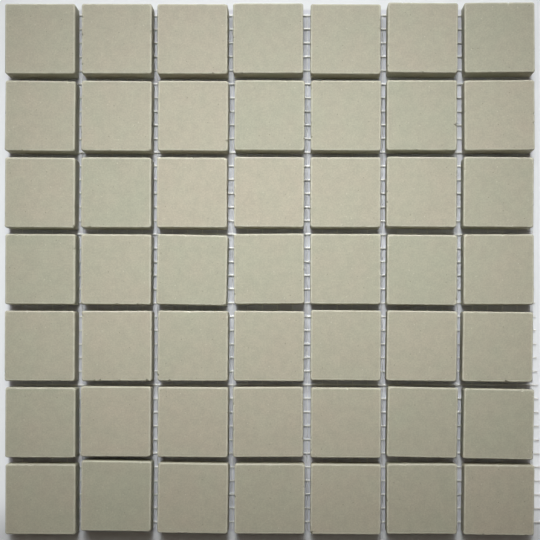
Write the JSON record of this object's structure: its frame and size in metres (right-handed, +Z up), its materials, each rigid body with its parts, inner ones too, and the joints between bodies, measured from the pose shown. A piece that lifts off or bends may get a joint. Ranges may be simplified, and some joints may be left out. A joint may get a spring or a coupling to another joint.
{
  "type": "porcelain mosaic tile sheet",
  "caption": "Flat sheet of small square matt porcelain tiles held on a glass-fibre net with open joints, ready to bed in adhesive and grout.",
  "frame": {"origin": "underside of the net, below the middle of the tile grid", "axes": "+Z up, out of the tile faces; +X along a row towards the net's overhang; +Y along a column, from row 7 to row 1"},
  "size_m": [0.1772, 0.1745, 0.0055],
  "materials": {
    "porcelain": "unglazed, matt",
    "glass_fibre_net": "coated yarn"
  },
  "bodies": {
    "root": {"tile_row1_col1": "porcelain", "tile_row1_col2": "porcelain", "tile_row1_col3": "porcelain", "tile_row1_col4": "porcelain", "tile_row1_col5": "porcelain", "tile_row1_col6": "porcelain", "tile_row1_col7": "porcelain", "tile_row2_col1": "porcelain", "tile_row2_col2": "porcelain", "tile_row2_col3": "porcelain", "tile_row2_col4": "porcelain", "tile_row2_col5": "porcelain", "tile_row2_col6": "porcelain", "tile_row2_col7": "porcelain", "tile_row3_col1": "porcelain", "tile_row3_col2": "porcelain", "tile_row3_col3": "porcelain", "tile_row3_col4": "porcelain", "tile_row3_col5": "porcelain", "tile_row3_col6": "porcelain", "tile_row3_col7": "porcelain", "tile_row4_col1": "porcelain", "tile_row4_col2": "porcelain", "tile_row4_col3": "porcelain", "tile_row4_col4": "porcelain", "tile_row4_col5": "porcelain", "tile_row4_col6": "porcelain", "tile_row4_col7": "porcelain", "tile_row5_col1": "porcelain", "tile_row5_col2": "porcelain", "tile_row5_col3": "porcelain", "tile_row5_col4": "porcelain", "tile_row5_col5": "porcelain", "tile_row5_col6": "porcelain", "tile_row5_col7": "porcelain", "tile_row6_col1": "porcelain", "tile_row6_col2": "porcelain", "tile_row6_col3": "porcelain", "tile_row6_col4": "porcelain", "tile_row6_col5": "porcelain", "tile_row6_col6": "porcelain", "tile_row6_col7": "porcelain", "tile_row7_col1": "porcelain", "tile_row7_col2": "porcelain", "tile_row7_col3": "porcelain", "tile_row7_col4": "porcelain", "tile_row7_col5": "porcelain", "tile_row7_col6": "porcelain", "tile_row7_col7": "porcelain", "net_back_left": "glass_fibre_net", "net_back_right": "glass_fibre_net", "net_front_left": "glass_fibre_net", "net_front_right": "glass_fibre_net"}
  },
  "joints": []
}
